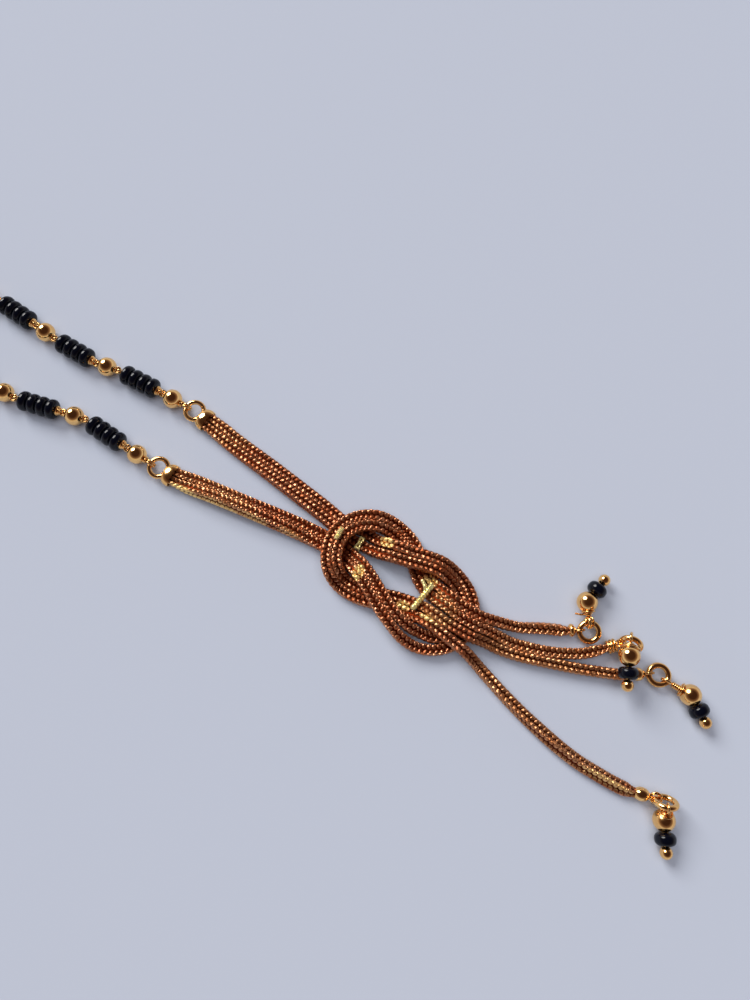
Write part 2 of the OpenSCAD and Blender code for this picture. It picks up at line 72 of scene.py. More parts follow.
# Height of a strand's middle where it lies on the surface and where it crosses over another
# strand, and half the distance between the two strands of a pair
REST_GAP = 0.02
LOW = STRAND_H / 2 + REST_GAP
HIGH = LOW + STRAND_H + CLEAR
SIDE = 0.7

# Middle line of the two necklace strands: x, y, height, roll in degrees, half their distance
NECKLACE_ROUTE = [
    (-34.7, 4.36, 1.1, 0, 0.61), (-32.6, 4, 1, 0, 0.69), (-28.5, 3.2, LOW, 0, SIDE),
    (-23, 2.3, LOW, -8, SIDE), (-18, 1.4, LOW, -12, SIDE), (-14, 0.7, LOW, -8, SIDE),
    (-10.5, 0, LOW, 0, SIDE), (-7.5, -0.22, LOW, 0, 0.86), (-5, -0.4, 1.2, 0, 0.8),
    (-2.8, -0.1, HIGH, 0, 0.8), (0, 0.35, HIGH, 0, 0.72), (2, 0.78, HIGH, 0, SIDE),
    (4, 0.98, 2.1, 0, SIDE), (6, 0.65, 1.3, 0, SIDE), (8, -0.25, LOW, 0, SIDE),
    (9.5, -1.8, LOW, 0, SIDE), (10.2, -3.6, LOW, 0, SIDE), (10, -5.4, LOW, 0, SIDE),
    (9, -7.2, LOW, 0, SIDE), (7.4, -8.3, LOW, 0, 0.8), (5.5, -8.75, 0.9, 0, 0.95),
    (3.5, -8.68, 1.75, 0, 0.86), (1.5, -8, HIGH, 0, 0.72), (-0.2, -7.2, HIGH, 0, SIDE),
    (-2, -6.1, HIGH, 0, SIDE), (-3.8, -5, HIGH, 0, SIDE), (-5.6, -4.12, 2.1, 0, SIDE),
    (-6.8, -3.7, 1.2, 0, 0.69), (-8.1, -3.3, LOW, 0, 0.69), (-10, -3, LOW, 0, SIDE),
    (-13.5, -3, LOW, 5, SIDE), (-18, -3.3, LOW, 20, SIDE), (-23, -3.75, LOW, 30, SIDE),
    (-28.5, -4.25, LOW, 27, 0.72), (-32.6, -4.68, 1, 4, 0.7), (-34.7, -4.8, 1.1, 0, 0.61)]

# Middle line of the two tassel strands inside the knot
TASSEL_ROUTE = [
    (11.3, -3.1, HIGH, 0, SIDE), (9, -3.05, HIGH, 0, SIDE), (7.2, -2.75, HIGH, 0, SIDE),
    (5.5, -2.4, 1.7, 0, 0.72), (4, -1.97, 1, 0, 0.8), (2.6, -1.3, LOW, 0, 0.74),
    (1.4, -0.3, LOW, 0, SIDE), (0.2, 0.9, LOW, 0, SIDE), (-1.2, 1.95, LOW, 0, SIDE),
    (-2.8, 2.6, 0.8, 0, SIDE), (-4.6, 2.85, 1.3, 0, SIDE), (-6.4, 2.55, 2.06, 0, SIDE),
    (-8.2, 1.6, HIGH, 0, SIDE), (-9.5, 0.1, HIGH, 0, SIDE), (-10.1, -1.7, HIGH, 0, SIDE),
    (-9.9, -3.5, HIGH, 0, SIDE), (-9.25, -5.05, HIGH, 0, SIDE), (-8.15, -6.2, 2, 0, SIDE),
    (-6.9, -6.76, 1, 0, SIDE), (-5.4, -7, LOW, 0, SIDE), (-3.4, -6.9, LOW, 0, SIDE),
    (-1.6, -6.4, LOW, 0, SIDE), (0, -5.9, LOW, 0, SIDE), (1.5, -5.6, LOW, 0, 0.72),
    (3.1, -5.5, 1.1, 0, 0.8), (4.7, -5.5, 1.9, 0, 0.76), (6.3, -5.65, HIGH, 0, SIDE),
    (8, -5.95, HIGH, 0, SIDE), (11.1, -6.28, HIGH, 0, 0.95)]

# The four free tails, from the knot to the end inside the tail cap: x, y, height, roll
TAIL_ROUTES = [
    [(13.8, -1.85, 1.5, 0), (16.4, -1.1, LOW, 6), (18.5, -0.1, LOW, 14), (20.2, 0.65, LOW, 16),
     (21.8, 1.28, 0.87, 16), (22.74, 1.81, 0.87, 16)],
    [(13.2, -3.5, 1.6, 0), (16.1, -3.4, LOW, 0), (18.6, -2.9, LOW, 0), (21, -2.2, LOW, 0),
     (23.3, -1.25, LOW, 0), (25.3, -0.15, LOW, 0), (27.09, 1.38, 0.9, 0), (27.95, 2.22, 0.96, 0)],
    [(13.2, -5, 1.4, 0), (15.3, -4.85, LOW, 0), (17.8, -4.45, LOW, 0), (20.3, -3.8, LOW, 0),
     (22.7, -3.1, LOW, 0), (25.1, -2.4, LOW, 0), (27.4, -1.6, LOW, 0), (29.7, -0.75, LOW, 0),
     (31.27, -0.08, 0.87, 0), (32.29, 0.55, 0.87, 0)],
    [(12.8, -7.7, 1.4, 0), (14.9, -8.45, LOW, -3), (18.1, -9.65, LOW, -8), (21.4, -10.75, LOW, -16),
     (24.3, -11.55, LOW, -28), (27.2, -12.25, LOW, -40), (30, -12.72, LOW, -45),
     (32.5, -12.88, LOW, -45), (35, -12.95, LOW, -45), (36.95, -12.84, 0.9, -45),
     (38.12, -12.56, 0.98, -45)]]

# For each tail: the middle of the cap's eye, the length of the cap's body, the middle of the
# drop's eye, the drop's ball and end ball, and the side that the jump ring lies on
TailEnd = namedtuple("TailEnd", "cap_eye body_len drop_eye ball tip ring_side")
TAIL_ENDS = [
    TailEnd((23.56, 2.29, 0.87), 0.85, (24.22, 3.72, 1.2), (22.87, 5.98, 1.4), (23.73, 9.69, 1.3),
            (1, -0.4, 0)),
    TailEnd((28.95, 3.2, 1.1), 1.3, (29.44, 4.05, 2.7), (29.95, 1.81, 3.2), (31.28, -1.63, 2.88),
            (1, 0, 0)),
    TailEnd((33.65, 1.4, 0.87), 1.5, (35.98, 1.5, 1.12), (39.2, 1.3, 1.4), (42.17, -0.94, 1.3),
            (0, 1, 0)),
    TailEnd((40.07, -12.1, 1.26), 1.83, (41.15, -12.6, 3), (41.84, -13.98, 1.4),
            (43.53, -17.27, 1.3), (0.6, 0.5, -0.5))]
CAP_EYE_R = (0.6, 0.6, 0.6, 0.68)
DROP_EYE_R = (0.72, 0.62, 0.62, 0.56)

# The drop with spare turns and a loose end of wire, the cap that is wound with wire, and the last
# tail, whose cap has a ball on its neck and whose drop has an eye of thinner wire
LOOSE_TAIL = 0
WOUND_TAIL = 1
LAST_TAIL = 3

# Turns of wire that lie on each drop's ball, in degrees from the end with the eye
DROP_COIL_ANGLES = ((18, 33), (20, 36, 52), (18, 33), (16, 30))

# The routes are measured from the knot, and this is where the knot lies in the part
KNOT_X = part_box("drop_pin_4")[1].x / MM - (TAIL_ENDS[LAST_TAIL].tip[0] + TIP_D / 2)


# Modelling helpers

# Turns that lay the axis of a new primitive along X, Y or Z
ALONG_X = (0, math.pi / 2, 0)
ALONG_Y = (math.pi / 2, 0, 0)
ALONG_Z = (0, 0, 0)

# Sides round a ring and round its wire
EYE_SIDES = (28, 10)
TURN_SIDES = (28, 8)
BAND_SIDES = (24, 8)


def deselect():
    if bpy.context.object and bpy.context.object.mode != "OBJECT":
        bpy.ops.object.mode_set(mode="OBJECT")
    bpy.ops.object.select_all(action="DESELECT")


def pick(*pieces):
    deselect()
    for piece in pieces:
        piece.select_set(True)
    bpy.context.view_layer.objects.active = pieces[0]


def new_piece(name):
    """Names the piece that was made last."""
    piece = bpy.context.object
    piece.name = name
    return piece


def settle(piece, matrix=None):
    """Puts the piece at its place in its mesh, with its object at the origin."""
    if matrix is not None:
        bpy.context.view_layer.update()
        piece.matrix_world = matrix @ piece.matrix_world
    pick(piece)
    bpy.ops.object.transform_apply(location=True, rotation=True, scale=True)
    return piece


def repeat_along(piece, count, step):
    """Sets up copies of the piece in a row along X."""
    array = piece.modifiers.new("row", "ARRAY")
    array.count = count
    array.use_relative_offset = False
    array.use_constant_offset = True
    array.constant_offset_displace = (step * MM, 0, 0)
    return array


def apply_modifiers(piece):
    pick(piece)
    for modifier in list(piece.modifiers):
        bpy.ops.object.modifier_apply(modifier=modifier.name)


def edit_all(piece):
    """Opens the piece for editing with all of it selected."""
    pick(piece)
    bpy.ops.object.mode_set(mode="EDIT")
    bpy.ops.mesh.select_all(action="SELECT")


def stop_editing():
    bpy.ops.object.mode_set(mode="OBJECT")


def clear_selection(piece, kind):
    """Leaves nothing in the piece selected, ready to pick faces or edges."""
    pick(piece)
    bpy.ops.object.mode_set(mode="EDIT")
    bpy.ops.mesh.select_mode(type=kind)
    bpy.ops.mesh.select_all(action="DESELECT")
    bpy.ops.object.mode_set(mode="OBJECT")


def select_faces(piece, wanted):
    """Opens the piece for editing with only the wanted faces selected."""
    clear_selection(piece, "FACE")
    for face in piece.data.polygons:
        face.select = wanted(face)
    bpy.ops.object.mode_set(mode="EDIT")


def round_edges(piece, wanted, width, segments):
    """Rounds the edges whose two ends are wanted."""
    clear_selection(piece, "EDGE")
    for edge in piece.data.edges:
        edge.select = wanted(*[piece.data.vertices[v].co for v in edge.vertices])
    bpy.ops.object.mode_set(mode="EDIT")
    bpy.ops.mesh.bevel(offset=width * MM, segments=segments, affect="EDGES")
    stop_editing()


def face_outwards(piece):
    edit_all(piece)
    bpy.ops.mesh.normals_make_consistent(inside=False)
    stop_editing()


def joined(name, pieces):
    pick(*pieces)
    if len(pieces) > 1:
        bpy.ops.object.join()
    return new_piece(name)


def copy_at(model, matrix):
    """A copy of the model with its own mesh, moved by the matrix."""
    piece = bpy.data.objects.new(model.name, model.data.copy())
    piece.data.transform(matrix)
    bpy.context.collection.objects.link(piece)
    return piece


def remove(piece):
    pick(piece)
    bpy.ops.object.delete()


def smooth_shade(piece, angle=50):
    pick(piece)
    bpy.ops.object.shade_smooth_by_angle(angle=math.radians(angle))


def complete(piece, node, material):
    """Gives a finished piece its material and says which solid it stands for."""
    piece.name = node + "_piece"
    if material is not None:
        piece.data.materials.clear()
        piece.data.materials.append(material)
    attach(piece, "root")
    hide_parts(node)


def complete_gold(piece, node):
    """Smooths a piece of gold wire or sheet and completes it."""
    smooth_shade(piece)
    complete(piece, node, GOLD)


def frame_at(point, toward, beside):
    """A matrix with +X along toward and +Y as near to beside as it can be, in metres."""
    x = Vector(toward).normalized()
    z = x.cross(Vector(beside)).normalized()
    y = z.cross(x)
    matrix = Matrix((x, y, z)).transposed().to_4x4()
    matrix.translation = Vector(point) * MM
    return matrix


def aim(point, toward):
    """A matrix with +X along toward and +Y level."""
    x = Vector(toward).normalized()
    return frame_at(point, x, (-x.y, x.x, 0))


def in_part(point):
    """A place that was measured from the knot, in the part."""
    return Vector((point[0] + KNOT_X, point[1], point[2]))


def ring(r, wire, lie=ALONG_Z, sides=(20, 8), at=(0, 0, 0)):
    """A ring of round wire, with its axis along the given one."""
    bpy.ops.mesh.primitive_torus_add(
        major_radius=r * MM, minor_radius=wire / 2 * MM, major_segments=sides[0],
        minor_segments=sides[1], location=Vector(at) * MM, rotation=lie)
    return settle(new_piece("ring"))


def ball(d, at=(0, 0, 0), sides=(24, 14)):
    """A ball with its poles on the X axis."""
    bpy.ops.mesh.primitive_uv_sphere_add(
        segments=sides[0], ring_count=sides[1], radius=d / 2 * MM, location=Vector(at) * MM,
        rotation=ALONG_X)
    return settle(new_piece("ball"))


def rod(d, start, end, sides=16):
    """A round rod along X from start to end."""
    bpy.ops.mesh.primitive_cylinder_add(
        vertices=sides, radius=d / 2 * MM, depth=(end - start) * MM,
        location=((start + end) / 2 * MM, 0, 0), rotation=ALONG_X)
    return settle(new_piece("rod"))


def wire_along(name, points, wire, resolution=2):
    """A round wire with filled ends along the points."""
    line = bpy.data.curves.new(name, "CURVE")
    line.dimensions = "3D"
    line.bevel_depth = wire / 2 * MM
    line.bevel_resolution = resolution
    line.use_fill_caps = True
    spline = line.splines.new("POLY")
    spline.points.add(len(points) - 1)
    for place, point in zip(spline.points, points):
        place.co = (*(Vector(point) * MM), 1)
    piece = bpy.data.objects.new(name, line)
    bpy.context.collection.objects.link(piece)
    pick(piece)
    bpy.ops.object.convert(target="MESH")
    return new_piece(name)


def wraps(wire, coil_r, start, end, sides=(20, 8)):
    """Turns of wire side by side round the X axis, from start to end."""
    count = max(1, round((end - start) / wire))
    step = (end - start) / count
    turn = ring(coil_r, wire, ALONG_X, sides, (start + step / 2, 0, 0))
    repeat_along(turn, count, step)
    apply_modifiers(turn)
    return turn


# Routes

def curve_point(a, b, c, d, t):
    """The point at t between b and c on a smooth curve through all four."""
    return tuple(
        0.5 * (2 * q + (r - p) * t + (2 * p - 5 * q + 4 * r - s) * t * t
               + (3 * q - p - 3 * r + s) * t ** 3)
        for p, q, r, s in zip(a, b, c, d))


def smoothed(points, steps):
    last = len(points) - 1
    path = []
    for i in range(last):
        for k in range(steps):
            path.append(curve_point(points[max(i - 1, 0)], points[i], points[i + 1],
                                    points[min(i + 2, last)], k / steps))
    return path + [points[last]]


def travel(path, i):
    """The direction of a path at one of its points."""
    after, before = path[min(i + 1, len(path) - 1)], path[max(i - 1, 0)]
    return (Vector(after[:3]) - Vector(before[:3])).normalized()


def rest_height(roll):
    """Height of a strand's middle that rests on the surface with this roll."""
    a, b = STRAND_W / 2, STRAND_H / 2
    angle = math.radians(roll)
    corners = [(x, y) for x in (a, STRAND_CORNER - a, a - STRAND_CORNER, -a)
               for y in (b, b - STRAND_CORNER) if (abs(x) == a) != (y == b)]
    return REST_GAP + max(y * math.cos(angle) + x * math.sin(angle) for x, y in corners)


def beside(path, hand):
    """The path of one strand of a pair: hand is 1 for the middle line's left, -1 for its right."""
    line = []
    for i, (x, y, z, roll, spread) in enumerate(path):
        ahead = travel(path, i)
        left = Vector((-ahead.y, ahead.x, 0)).normalized()
        angle = math.radians(roll)
        middle = Vector((x, y, max(z, rest_height(roll) + spread * abs(math.sin(angle)))))
        point = middle + hand * spread * (math.cos(angle) * left + Vector((0, 0, math.sin(angle))))
        line.append((*point, roll))
    return line


def reversed_path(path):
    return [(x, y, z, -roll) for x, y, z, roll in reversed(path)]


# Points on a smoothed route for each of its own points
STEPS = 3
necklace_mid = smoothed(NECKLACE_ROUTE, STEPS)
tassel_mid = smoothed(TASSEL_ROUTE, STEPS)


def tail_path(before, start, route):
    return smoothed([before, start] + route, STEPS)[STEPS + 1:]


def tassel_strand(hand, upper_tail, lower_tail):
    """One strand from the end of its upper tail through the knot to the end of its lower tail."""
    knot = beside(tassel_mid, hand)
    upper = tail_path(knot[STEPS], knot[0], TAIL_ROUTES[upper_tail])
    lower = tail_path(knot[-1 - STEPS], knot[-1], TAIL_ROUTES[lower_tail])
    return reversed_path(upper) + knot + lower


# Materials

COLOUR = "NodeSocketColor"
VALUE = "NodeSocketFloat"
LEAF_CLEAN = (0.74, 0.34, 0.175)
LEAF_DULL = (0.46, 0.105, 0.026)
# Dark colour of the painted shade at each leaf's root
LEAF_ROOT_SHADE = (0.11, 0.009, 0.002)
# Colour, roughness and metalness of the painted highlights and reflections on the leaves
PAINTED_HIGHLIGHT_GOLD = (1.0, 0.7, 0.27)
PAINTED_HIGHLIGHT_ROUGHNESS = 0.36
PAINTED_HIGHLIGHT_METALLIC = 0.72
GLASS_BLACK = (0.001, 0.0015, 0.004)
GLASS_BLUE = (0.002, 0.003, 0.008)
PALE_FLOOR = (0.445, 0.482, 0.57)


def feed(tree, value, way_in):
    """Links a socket to an input, or sets a plain value on it."""
    if isinstance(value, bpy.types.NodeSocket):
        tree.links.new(value, way_in)
    else:
        way_in.default_value = value


def mixed(tree, kind, mask, low, high):
    """Goes from low to high by a mask."""
    blend = tree.nodes.new("ShaderNodeMix")
    blend.data_type = kind
    tree.links.new(mask, blend.inputs["Factor"])
    feed(tree, low, blend.inputs["A"])
    feed(tree, high, blend.inputs["B"])
    return blend.outputs["Result"]


def ranged(tree, value, start=0.0, stop=1.0, low=0.0, high=1.0):
    """Goes from low to high where the value goes from start to stop."""
    stretch = tree.nodes.new("ShaderNodeMapRange")
    tree.links.new(value, stretch.inputs["Value"])
    for name, number in (("From Min", start), ("From Max", stop), ("To Min", low), ("To Max", high)):
        stretch.inputs[name].default_value = number
    return stretch.outputs["Result"]


def together(tree, operation, first, second):
    both = tree.nodes.new("ShaderNodeMath")
    both.operation = operation
    tree.links.new(first, both.inputs[0])
    tree.links.new(second, both.inputs[1])
    return both.outputs["Value"]


def vector_step(tree, operation, first, second=None, result="Vector"):
    step = tree.nodes.new("ShaderNodeVectorMath")
    step.operation = operation
    tree.links.new(first, step.inputs[0])
    if second is not None:
        step.inputs[1].default_value = second
    return step.outputs[result]


def clouds(tree, size, detail):
    """A cloudy pattern that stays with the piece."""
    place = tree.nodes.new("ShaderNodeTexCoord")
    pattern = tree.nodes.new("ShaderNodeTexNoise")
    pattern.inputs["Detail"].default_value = detail
    tree.links.new(place.outputs["Object"], pattern.inputs["Vector"])
    feed(tree, size, pattern.inputs["Scale"])
    return pattern.outputs["Fac"]


def shader_group(name, inputs, outputs):
    """An effect that several materials use, with its inputs and outputs."""
    group = bpy.data.node_groups.new(name, "ShaderNodeTree")
    for way, sockets in (("INPUT", inputs), ("OUTPUT", outputs)):
        for socket_name, kind in sockets:
            group.interface.new_socket(socket_name, in_out=way, socket_type=kind)
    return group, group.nodes.new("NodeGroupInput").outputs, group.nodes.new("NodeGroupOutput").inputs


def tarnish_group():
    """Faint darker clouds and fine scuffs, for every metal piece."""
    group, given, result = shader_group(
        "tarnish",
        (("Clean", COLOUR), ("Dull", COLOUR), ("Cloud Size", VALUE), ("Amount", VALUE),
         ("Smooth Roughness", VALUE), ("Scuffed Roughness", VALUE)),
        (("Color", COLOUR), ("Roughness", VALUE)))
    spread = ranged(group, clouds(group, given["Cloud Size"], 3), 0.42, 0.68)
    share = together(group, "MULTIPLY", spread, given["Amount"])
    feed(group, mixed(group, "RGBA", share, given["Clean"], given["Dull"]), result["Color"])
    feed(group, mixed(group, "FLOAT", spread, given["Smooth Roughness"], given["Scuffed Roughness"]),
         result["Roughness"])
    return group


def dents_group():
    """The relief of small dents, as in pressed leaves and bent wire."""
    group, given, result = shader_group("dents", (("Dent Size", VALUE),), (("Height", VALUE),))
    feed(group, clouds(group, given["Dent Size"], 1.5), result["Height"])
    return group


def placed(tree, group, **values):
    """Places a group in a material with the material's own values."""
    effect = tree.nodes.new("ShaderNodeGroup")
    effect.node_tree = group
    for name, value in values.items():
        effect.inputs[name.replace("_", " ").title()].default_value = value
    return effect.outputs


def shader_material(name):
    """A new material, its nodes and the inputs of its shader."""
    material = bpy.data.materials.new(name)
    material.use_nodes = True
    tree = material.node_tree
    return material, tree, tree.nodes["Principled BSDF"].inputs


def dented(tree, finish, size, strength, depth):
    """Gives a metal its dents, with their depth in millimetres."""
    relief = tree.nodes.new("ShaderNodeBump")
    relief.inputs["Strength"].default_value = strength
    relief.inputs["Distance"].default_value = depth * MM
    feed(tree, placed(tree, DENTS, dent_size=size)["Height"], relief.inputs["Height"])
    feed(tree, relief.outputs["Normal"], finish["Normal"])


def metal(name, clean, dull, cloud_size, amount, smooth_rough, scuffed_rough, metallic=1.0,
          dent_depth=0.0):
    material, tree, finish = shader_material(name)
    tarnish = placed(tree, TARNISH, clean=(*clean, 1), dull=(*dull, 1), cloud_size=cloud_size,
                     amount=amount, smooth_roughness=smooth_rough, scuffed_roughness=scuffed_rough)
    feed(tree, tarnish["Color"], finish["Base Color"])
    feed(tree, tarnish["Roughness"], finish["Roughness"])
    finish["Metallic"].default_value = metallic
    if dent_depth:
        dented(tree, finish, size=2200, strength=0.6, depth=dent_depth)
    return material


# Places where painted highlights and painted reflections of the pale floor make the leaves bright
# yellow; the broad, faint ones tint the straps and tails golden. From the knot: x, y, height, then the
# half sizes of the place along the three axes and its strength
PAINTED_HIGHLIGHT_SPOTS = [
    (-4, 0.5, 2.6, 1.4, 0.8, 1, 1), (-5.3, -4.9, 2.5, 0.9, 1.5, 1, 1),
    (3.4, -1.2, 1.9, 1.3, 0.8, 1, 1), (1.8, -5.8, 1.4, 1, 0.8, 0.8, 1),
    (-8, -2.75, 2.9, 0.5, 0.5, 0.6, 1), (5.7, -2.3, 1.6, 1.2, 1.2, 1, 0.5),
    (-31.5, -5.9, 1.2, 3.4, 0.75, 1.1, 0.9), (-26.5, -5.4, 1.6, 3.6, 0.7, 1, 0.75),
    (-21.5, -4.8, 1.8, 3, 0.6, 0.9, 0.5), (34, -13.15, 1.6, 5, 0.6, 0.9, 0.55),
    (5.2, -5.85, 2.8, 1.2, 0.5, 1, 0.9), (6.2, -4.2, 2.6, 3, 2.6, 2, 0.18),
    (-16.8, -4.2, 1.4, 3, 0.55, 0.8, 0.35), (-29, -4.3, 1, 9, 2.4, 2.5, 0.13),
    (-32, 4, 1, 6, 2.4, 2.5, 0.13), (26, -6, 1, 17, 10, 4, 0.12)]


def painted_highlight_mask(tree):
    """A mask of the painted highlights and reflections, strongest in their middle."""
    place = tree.nodes.new("ShaderNodeTexCoord").outputs["Object"]
    mask = None
    for x, y, z, half_x, half_y, half_z, strength in PAINTED_HIGHLIGHT_SPOTS:
        away = vector_step(tree, "SUBTRACT", place, in_part((x, y, z)) * MM)
        share = vector_step(tree, "DIVIDE", away, Vector((half_x, half_y, half_z)) * MM)
        size = vector_step(tree, "LENGTH", share, result="Value")
        spot = ranged(tree, size, 1.0, 0.7, high=strength)
        mask = spot if mask is None else together(tree, "MAXIMUM", mask, spot)
    return mask


def leaf_metal():
    """Gold leaves of the mesh: painted shade at the root, copper brown at the lifted edge, painted
    bright highlights and floor reflections in fixed places.
    """
    material, tree, finish = shader_material("mesh_leaf_gold")
    tarnish = placed(tree, TARNISH, clean=(*LEAF_CLEAN, 1), dull=(*LEAF_DULL, 1), cloud_size=900,
                     amount=0.8, smooth_roughness=0.33, scuffed_roughness=0.5)
    unwrap = tree.nodes.new("ShaderNodeUVMap")
    unwrap.uv_map = "UVMap"
    split = tree.nodes.new("ShaderNodeSeparateXYZ")
    feed(tree, unwrap.outputs["UV"], split.inputs["Vector"])
    along = ranged(tree, split.outputs["Y"], 0.15, 0.75)
    # Painted shade: each leaf goes dark towards its root, where the leaves meet the core
    leaf = mixed(tree, "RGBA", along, (*LEAF_ROOT_SHADE, 1), tarnish["Color"])
    # Painted highlights and painted reflections of the floor: fixed places turned bright yellow gold
    painted_highlight = painted_highlight_mask(tree)
    feed(tree, mixed(tree, "RGBA", painted_highlight, leaf, (*PAINTED_HIGHLIGHT_GOLD, 1)), finish["Base Color"])
    feed(tree, mixed(tree, "FLOAT", painted_highlight, tarnish["Roughness"], PAINTED_HIGHLIGHT_ROUGHNESS), finish["Roughness"])
    feed(tree, ranged(tree, painted_highlight, low=1.0, high=PAINTED_HIGHLIGHT_METALLIC), finish["Metallic"])
    dented(tree, finish, size=1900, strength=0.7, depth=0.3)
    return material


def black_glass():
    material, tree, finish = shader_material("black_bead_glass")
    shades = clouds(tree, 700, 2)
    feed(tree, mixed(tree, "RGBA", shades, (*GLASS_BLACK, 1), (*GLASS_BLUE, 1)), finish["Base Color"])
    feed(tree, ranged(tree, shades, low=0.08, high=0.18), finish["Roughness"])
    finish["Specular IOR Level"].default_value = 0.25
    return material


TARNISH = tarnish_group()
DENTS = dents_group()
GOLD = metal("polished_gold_tone", clean=(1.0, 0.62, 0.24), dull=(0.82, 0.4, 0.13),
             cloud_size=500, amount=0.5, smooth_rough=0.1, scuffed_rough=0.2)
BRIGHT_WIRE = metal("bright_gold_wire", clean=(1.0, 0.88, 0.4), dull=(0.95, 0.7, 0.22),
                    cloud_size=500, amount=0.6, smooth_rough=0.22, scuffed_rough=0.32,
                    metallic=0.72, dent_depth=0.35)
# The core between the leaves: a copper tone darkened almost to black as painted shade between the
# leaves
MESH_CORE_SHADE = metal("mesh_core_copper_painted_shade", clean=(0.13, 0.016, 0.003), dull=(0.06, 0.006, 0.001),
                  cloud_size=900, amount=0.8, smooth_rough=0.45, scuffed_rough=0.65)
MESH_LEAF = leaf_metal()
GLASS = black_glass()


# Mesh chain: leaves in two staggered rows on each side of a square core

LEAF_PITCH = 0.7
LEAF_LEN = 0.84
LEAF_WIDTH = 0.66
LEAF_THICK = 0.38
LEAF_TILT = 22
LEAF_TURN = 26
LEAF_ASIDE = STRAND_W * 0.235
LEAF_OUT = STRAND_W / 2 - LEAF_THICK * 0.46
CORE_W = 1.1
CORE_H = CORE_W - 0.1

# The chain is a little wider than its leaves' places, so that they reach the solid's sides
WIDENED = 1.05

# A strand's size where it enters a cap, as a share of its full size, and how many points of its
# route are squeezed so and then grow back to the full size
STRAP_SQUEEZE = 0.85
TAIL_SQUEEZE = 0.66
SQUEEZED_POINTS = 4
GROWING_POINTS = 4

# Finer points for each point of a strand's route, and how far its last leaf stays from the end
ROUTE_STEPS = 2
END_GAP = 0.02


def chain_unit(pitch):
    """One pitch of mesh chain along X, from x = 0, at the strand's full width and height."""
    bpy.ops.mesh.primitive_cube_add(size=1, location=(pitch / 2 * MM, 0, 0),
                                    scale=Vector((pitch, CORE_W, CORE_H)) * MM)
    core = settle(new_piece("core"))
    select_faces(core, lambda face: abs(face.normal.x) > 0.9)
    bpy.ops.mesh.delete(type="FACE")
    stop_editing()
    # The core's near-black colour is painted shade between the leaves
    core.data.materials.append(MESH_CORE_SHADE)
    leaf = ball(1, sides=(8, 6))
    leaf.scale = (LEAF_LEN, LEAF_WIDTH, LEAF_THICK)
    settle(leaf)
    leaf.data.materials.append(MESH_LEAF)
    parts = [core]
    for side in range(4):
        for row, start in ((-1, 0), (1, pitch / 2)):
            turn = Matrix.Rotation(side * math.pi / 2, 4, "X")
            spot = Matrix.Translation(Vector((start, row * LEAF_ASIDE, LEAF_OUT)) * MM)
            swing = Matrix.Rotation(math.radians(LEAF_TURN) * row, 4, "Z")
            lift = Matrix.Rotation(math.radians(-LEAF_TILT), 4, "Y")
            parts.append(copy_at(leaf, turn @ spot @ swing @ lift))
    remove(leaf)
    unit = joined("chain_unit", parts)
    unit.scale = (1, WIDENED, STRAND_H / STRAND_W)
    return settle(unit)


def strand_line(name, path, end_size):
    """The strand's route as a curve, with its roll as tilt and the caps' squeeze as radius."""
    fine = smoothed([(x, y, max(z, rest_height(roll)), roll) for x, y, z, roll in path], ROUTE_STEPS)
    line = bpy.data.curves.new(name, "CURVE")
    line.dimensions = "3D"
    line.twist_mode = "Z_UP"
    line.use_radius = True
    spline = line.splines.new("POLY")
    spline.points.add(len(fine) - 1)
    length = 0
    last = len(fine) - 1
    for i, (place, point) in enumerate(zip(spline.points, fine)):
        place.co = (*(in_part(point) * MM), 1)
        place.tilt = math.radians(point[3])
        grown = (min(i, last - i) - SQUEEZED_POINTS) / GROWING_POINTS
        place.radius = end_size + (1 - end_size) * min(max(grown, 0), 1)
        if i:
            length += (Vector(point[:3]) - Vector(fine[i - 1][:3])).length
    piece = bpy.data.objects.new(name, line)
    bpy.context.collection.objects.link(piece)
    return piece, length


def chain_strand(node, path, end_size):
    line, length = strand_line(node + "_line", path, end_size)
    count = round(length / LEAF_PITCH)
    pitch = (length - END_GAP) / count
    strand = chain_unit(pitch)
    array = repeat_along(strand, count, pitch)
    array.use_merge_vertices = True
    array.merge_threshold = 1e-6
    bend = strand.modifiers.new("route", "CURVE")
    bend.object = line
    bend.deform_axis = "POS_X"
    apply_modifiers(strand)
    remove(line)
    smooth_shade(strand, 60)
    complete(strand, node, None)


chain_strand("necklace_strand_outer", beside(necklace_mid, 1), STRAP_SQUEEZE)
chain_strand("necklace_strand_inner", beside(necklace_mid, -1), STRAP_SQUEEZE)
chain_strand("tassel_strand_outer", tassel_strand(-1, 0, 3), TAIL_SQUEEZE)
chain_strand("tassel_strand_inner", tassel_strand(1, 1, 2), TAIL_SQUEEZE)


# Bead strings

AXIS_Z = BEAD_D / 2
EYE_R = WIRE_D + CLEAR
HOOK_ROOM = 0.12
EYE_ROOM = 0.11
BIG_EYE_R = HOOK_WIRE_D / 2 + WIRE_D / 2 + HOOK_ROOM
EYE_LEAD = BALL_D / 2 + WIRE_D / 2 + EYE_ROOM
LONG_LEAD = 2.4
PIN_LEAD = 2 * EYE_R + WIRE_D / 2 + CLEAR
BALL_LINK_LEN = 2 * EYE_LEAD
PIN_LEN = 2 * PIN_LEAD + BEADS_PER_PIN * BEAD_T + (BEADS_PER_PIN - 1) * CLEAR
CAP_X = -36.5
HOOK_REACH = 4
LINK_COUNT = 2 * UNITS
COLLAR_R = 0.36
COLLAR_WIRE_D = 0.24
COLLAR_SUNK = 0.02
BEAD_HOLE_R = 0.24

# The beads' rounded rims, and how much thicker the beads are here than in the solids
BEAD_RIM = 0.6
BEAD_EXTRA = 0.07
DROP_BEAD_RIM = 0.64
DROP_BEAD_EXTRA = 0.13

